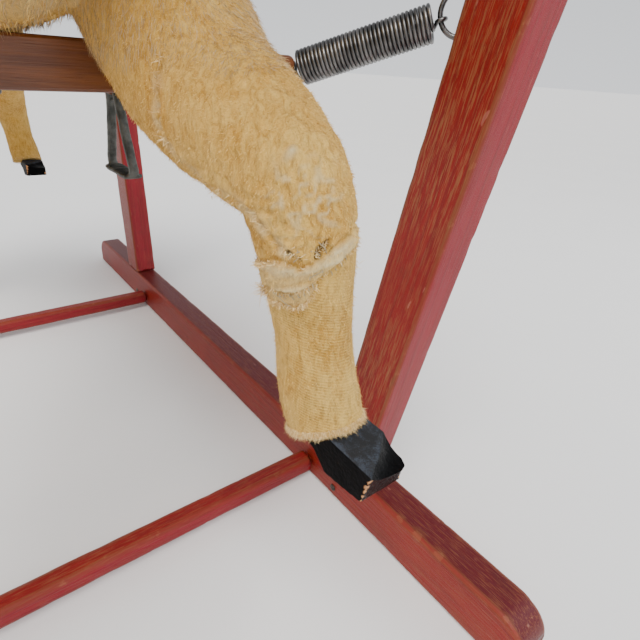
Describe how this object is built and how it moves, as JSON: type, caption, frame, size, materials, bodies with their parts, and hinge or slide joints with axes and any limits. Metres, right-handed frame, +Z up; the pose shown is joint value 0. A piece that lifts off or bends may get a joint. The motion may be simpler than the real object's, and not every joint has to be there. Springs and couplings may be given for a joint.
{
  "type": "rocking horse",
  "caption": "Stuffed mohair rocking horse slung on coil springs in a red wooden stand, with saddle, bridle and swinging stirrups.",
  "frame": {"origin": "on the floor, in the middle of the stand", "axes": "+X the way the horse faces, +Y its left side, +Z up"},
  "size_m": [1.1384, 0.6166, 1.0351],
  "materials": {
    "red_paint": "satin",
    "varnished_wood": "satin",
    "spring_steel": "satin",
    "dark_iron": "matte",
    "mohair": "matte",
    "black_paint": "satin",
    "horsehair": "matte",
    "amber_glass": "gloss",
    "brown_leather": "satin",
    "red_felt": "matte",
    "cast_iron": "satin"
  },
  "bodies": {
    "stand": {"left_base_rail": "red_paint", "right_base_rail": "red_paint", "front_cross_rail": "red_paint", "rear_cross_rail": "red_paint", "front_left_post": "red_paint", "front_right_post": "red_paint", "rear_left_post": "red_paint", "rear_right_post": "red_paint", "front_left_post_staple": "spring_steel", "front_right_post_staple": "spring_steel", "rear_left_post_staple": "spring_steel", "rear_right_post_staple": "spring_steel", "front_left_ring": "spring_steel", "front_right_ring": "spring_steel", "rear_left_ring": "spring_steel", "rear_right_ring": "spring_steel", "front_left_rail_screw": "dark_iron", "front_right_rail_screw": "dark_iron", "rear_left_rail_screw": "dark_iron", "rear_right_rail_screw": "dark_iron"},
    "front_springs": {"front_left_spring": "spring_steel", "front_right_spring": "spring_steel"},
    "rear_springs": {"rear_left_spring": "spring_steel", "rear_right_spring": "spring_steel"},
    "horse": {"front_cross_bar": "varnished_wood", "rear_cross_bar": "varnished_wood", "front_bar_bolt": "dark_iron", "rear_bar_bolt": "dark_iron", "front_left_bar_staple": "spring_steel", "front_right_bar_staple": "spring_steel", "rear_left_bar_staple": "spring_steel", "rear_right_bar_staple": "spring_steel", "torso": "mohair", "neck_and_head": "mohair", "left_foreleg": "mohair", "right_foreleg": "mohair", "left_hind_leg": "mohair", "right_hind_leg": "mohair", "left_fore_hoof": "black_paint", "right_fore_hoof": "black_paint", "left_hind_hoof": "black_paint", "right_hind_hoof": "black_paint", "left_ear": "mohair", "right_ear": "mohair", "left_eye": "amber_glass", "right_eye": "amber_glass", "mane": "horsehair", "tail": "horsehair", "saddle_blanket": "red_felt", "saddle_seat": "brown_leather", "left_saddle_flap": "brown_leather", "right_saddle_flap": "brown_leather", "girth": "brown_leather", "noseband": "brown_leather", "headstall": "brown_leather", "reins": "brown_leather"},
    "left_leather": {"left_stirrup_leather": "brown_leather"},
    "left_iron": {"left_stirrup": "cast_iron"},
    "right_leather": {"right_stirrup_leather": "brown_leather"},
    "right_iron": {"right_stirrup": "cast_iron"}
  },
  "joints": [
    {"name": "surge", "type": "slide", "parent": "stand", "child": "front_springs", "axis": [1, 0, 0], "range_m": [-0.02, 0.02], "stiffness_N_per_m": 2500, "deforming": ["front_left_spring", "front_right_spring", "rear_left_spring", "rear_right_spring"]},
    {"name": "bounce", "type": "slide", "parent": "front_springs", "child": "rear_springs", "axis": [0, 0, 1], "range_m": [-0.045, 0.03], "stiffness_N_per_m": 4000, "springref_m": 0.0383},
    {"name": "rock", "type": "hinge", "parent": "rear_springs", "child": "horse", "pos_m": [0, 0, 0.4425], "axis": [0, 1, 0], "range_deg": [-7, 7], "stiffness_Nm_per_rad": 280, "springref_deg": -0.73},
    {"name": "left_leather_swing", "type": "hinge", "parent": "horse", "child": "left_leather", "pos_m": [0.1, 0.124, 0.6], "axis": [0, 1, 0], "range_deg": [-20, 35]},
    {"name": "left_stirrup_swing", "type": "hinge", "parent": "left_leather", "child": "left_iron", "pos_m": [0.1, 0.124, 0.4245], "axis": [1, 0, 0], "range_deg": [-40, 40]},
    {"name": "right_leather_swing", "type": "hinge", "parent": "horse", "child": "right_leather", "pos_m": [0.1, -0.124, 0.6], "axis": [0, 1, 0], "range_deg": [-20, 35]},
    {"name": "right_stirrup_swing", "type": "hinge", "parent": "right_leather", "child": "right_iron", "pos_m": [0.1, -0.124, 0.4245], "axis": [1, 0, 0], "range_deg": [-40, 40]}
  ]
}
